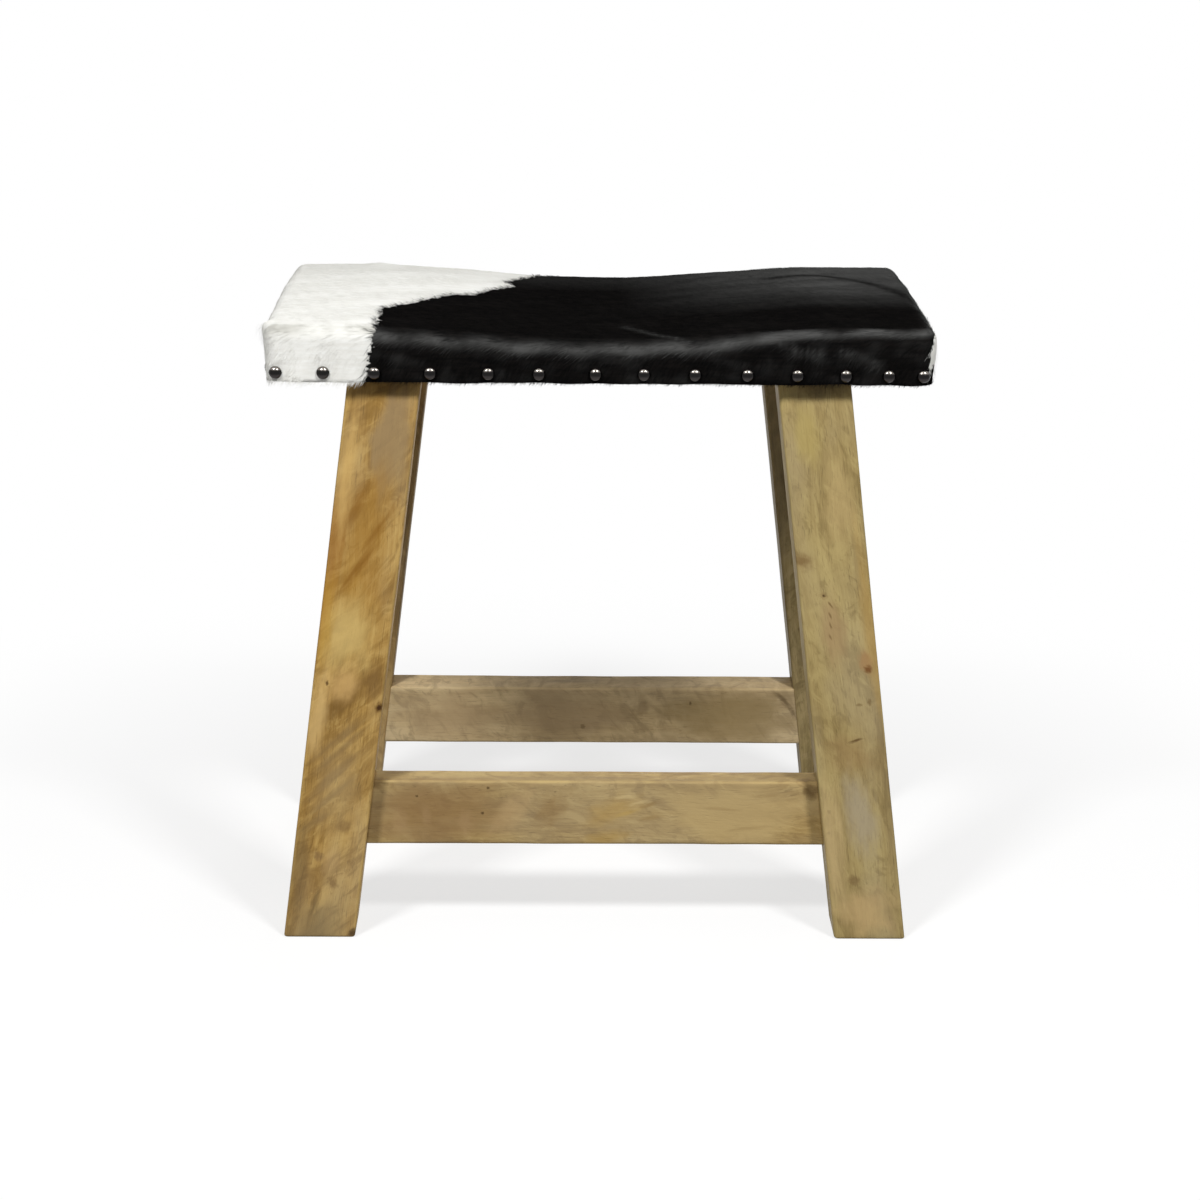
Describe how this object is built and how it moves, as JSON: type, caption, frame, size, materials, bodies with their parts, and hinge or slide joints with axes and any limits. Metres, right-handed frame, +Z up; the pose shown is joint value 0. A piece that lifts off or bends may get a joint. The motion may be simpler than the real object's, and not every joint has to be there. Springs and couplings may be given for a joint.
{
  "type": "upholstered bench",
  "caption": "Low saddle-topped bench with a hair-on cowhide seat edged in domed nails, on splayed square wooden legs with a low stretcher at front and back.",
  "frame": {"origin": "on the floor, under the middle of the bench", "axes": "+X along the seat towards its right end as seen from the front, +Y across the seat towards the back, +Z up"},
  "size_m": [0.5052, 0.3198, 0.481],
  "materials": {
    "cowhide": "hair-on cowhide, glossy black hair over most of the seat and off-white hair at the left end",
    "foam": "plain upholstery foam, hidden",
    "board_wood": "planed, unfinished solid board",
    "leg_wood": "waxed light hardwood, satin, with worn arrises",
    "stretcher_wood": "waxed light hardwood, slightly greyer than the legs",
    "zinc_steel": "plain zinc-plated coach screws, hidden",
    "antique_nail": "blackened antique domed heads with bright worn tops"
  },
  "bodies": {
    "root": {"cowhide_cover": "cowhide", "foam_pad": "foam", "seat_board": "board_wood", "leg_front_left": "leg_wood", "leg_front_right": "leg_wood", "leg_rear_left": "leg_wood", "leg_rear_right": "leg_wood", "front_stretcher": "stretcher_wood", "rear_stretcher": "stretcher_wood", "leg_screws": "zinc_steel", "nails_front": "antique_nail", "nails_back": "antique_nail", "nails_left": "antique_nail", "nails_right": "antique_nail"}
  },
  "joints": []
}
